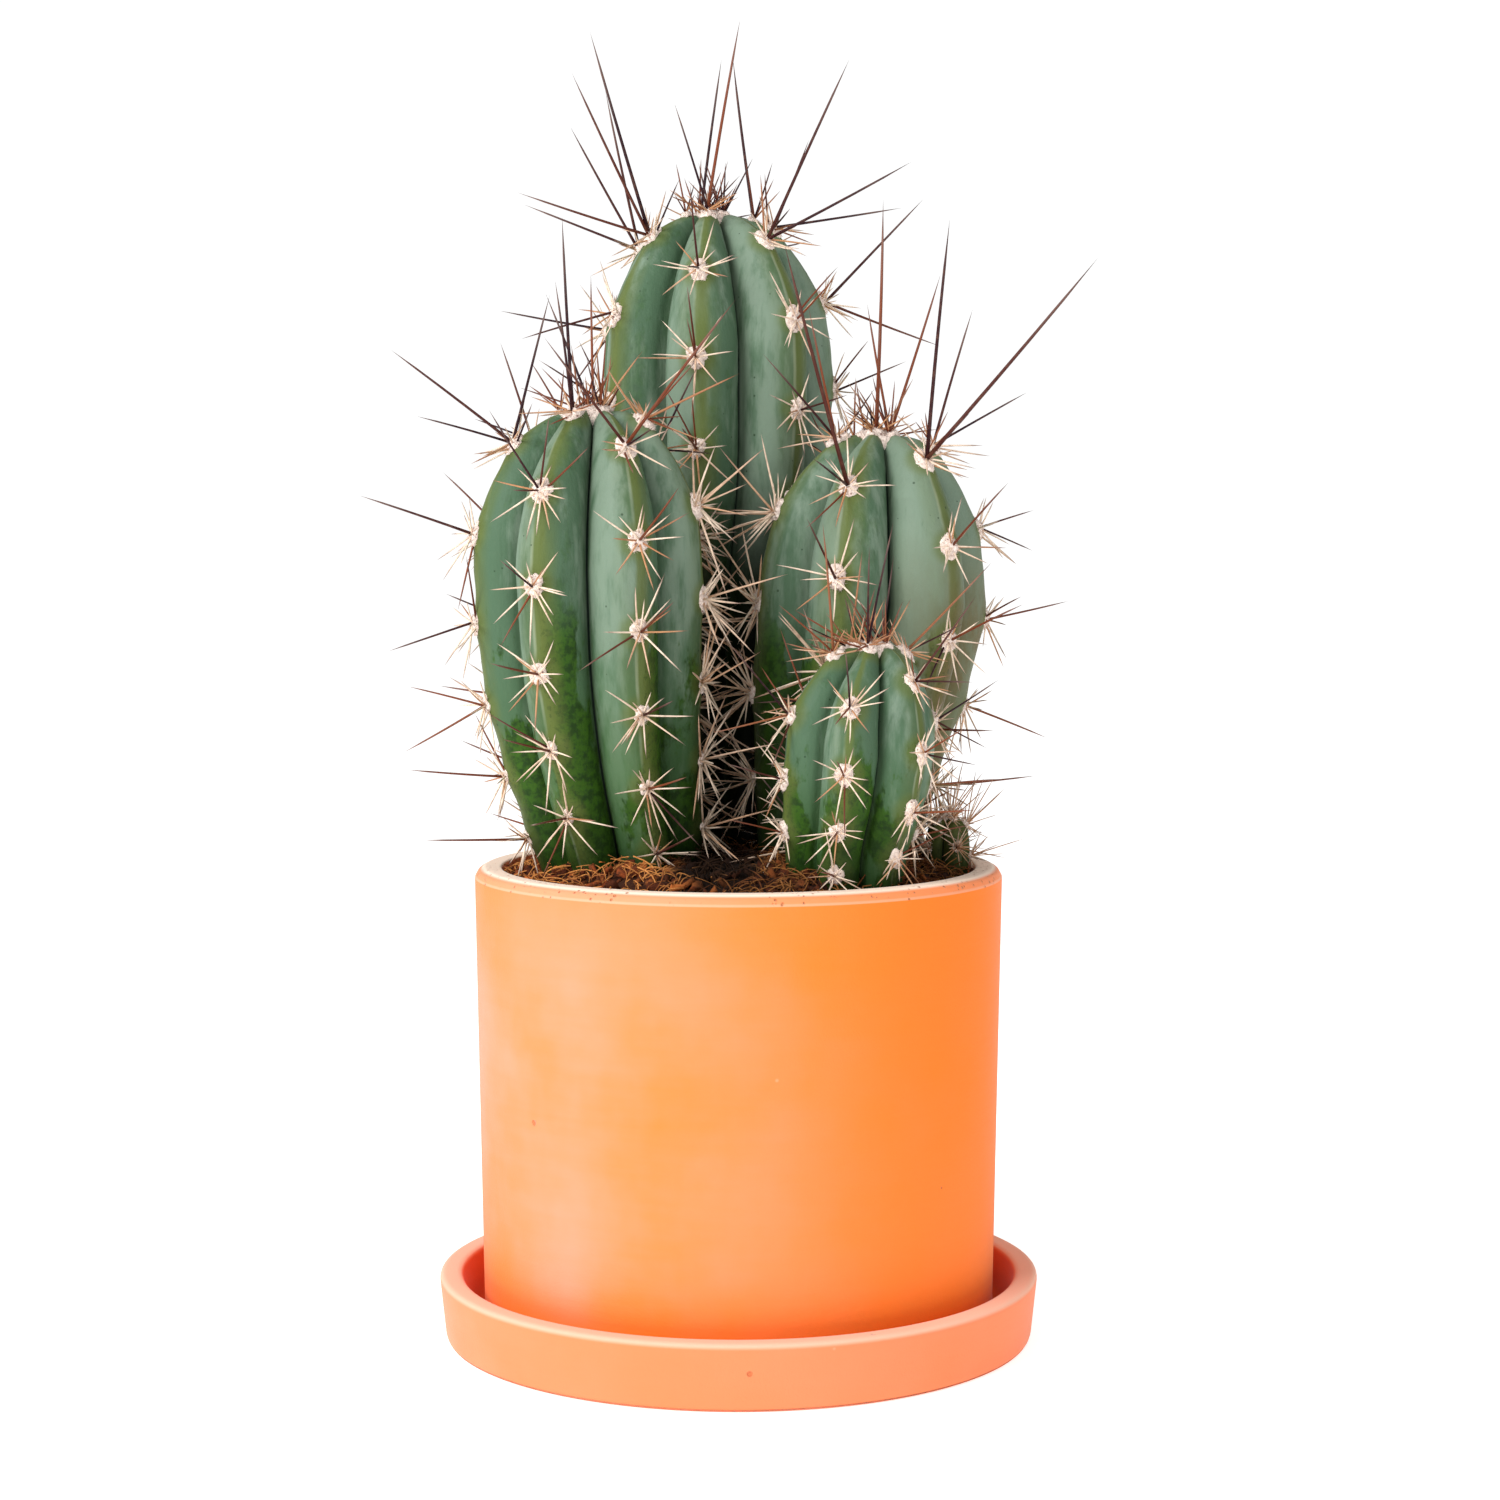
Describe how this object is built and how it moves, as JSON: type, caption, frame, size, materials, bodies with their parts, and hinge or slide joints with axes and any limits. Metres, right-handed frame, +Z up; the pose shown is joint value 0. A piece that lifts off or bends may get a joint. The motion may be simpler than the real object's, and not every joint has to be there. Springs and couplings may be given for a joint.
{
  "type": "potted toothpick cactus",
  "caption": "Clump of ribbed columnar cactus stems with long dark spines and a young pup, in a plain terracotta cylinder pot on its saucer.",
  "frame": {"origin": "middle of the saucer's flat underside, which the part stands on", "axes": "+Z up; -Y is the side the part is usually seen from, with the small stem in front; +X to that viewer's right"},
  "size_m": [0.1894, 0.1837, 0.353],
  "materials": {
    "saucer_terracotta": "matte",
    "pot_terracotta": "matte",
    "potting_mix": "matte",
    "cactus_skin": "satin"
  },
  "bodies": {
    "root": {"saucer": "saucer_terracotta", "pot": "pot_terracotta", "soil": "potting_mix", "stem_back": "cactus_skin", "stem_left": "cactus_skin", "stem_right": "cactus_skin", "stem_front": "cactus_skin", "pup": "cactus_skin"}
  },
  "joints": []
}
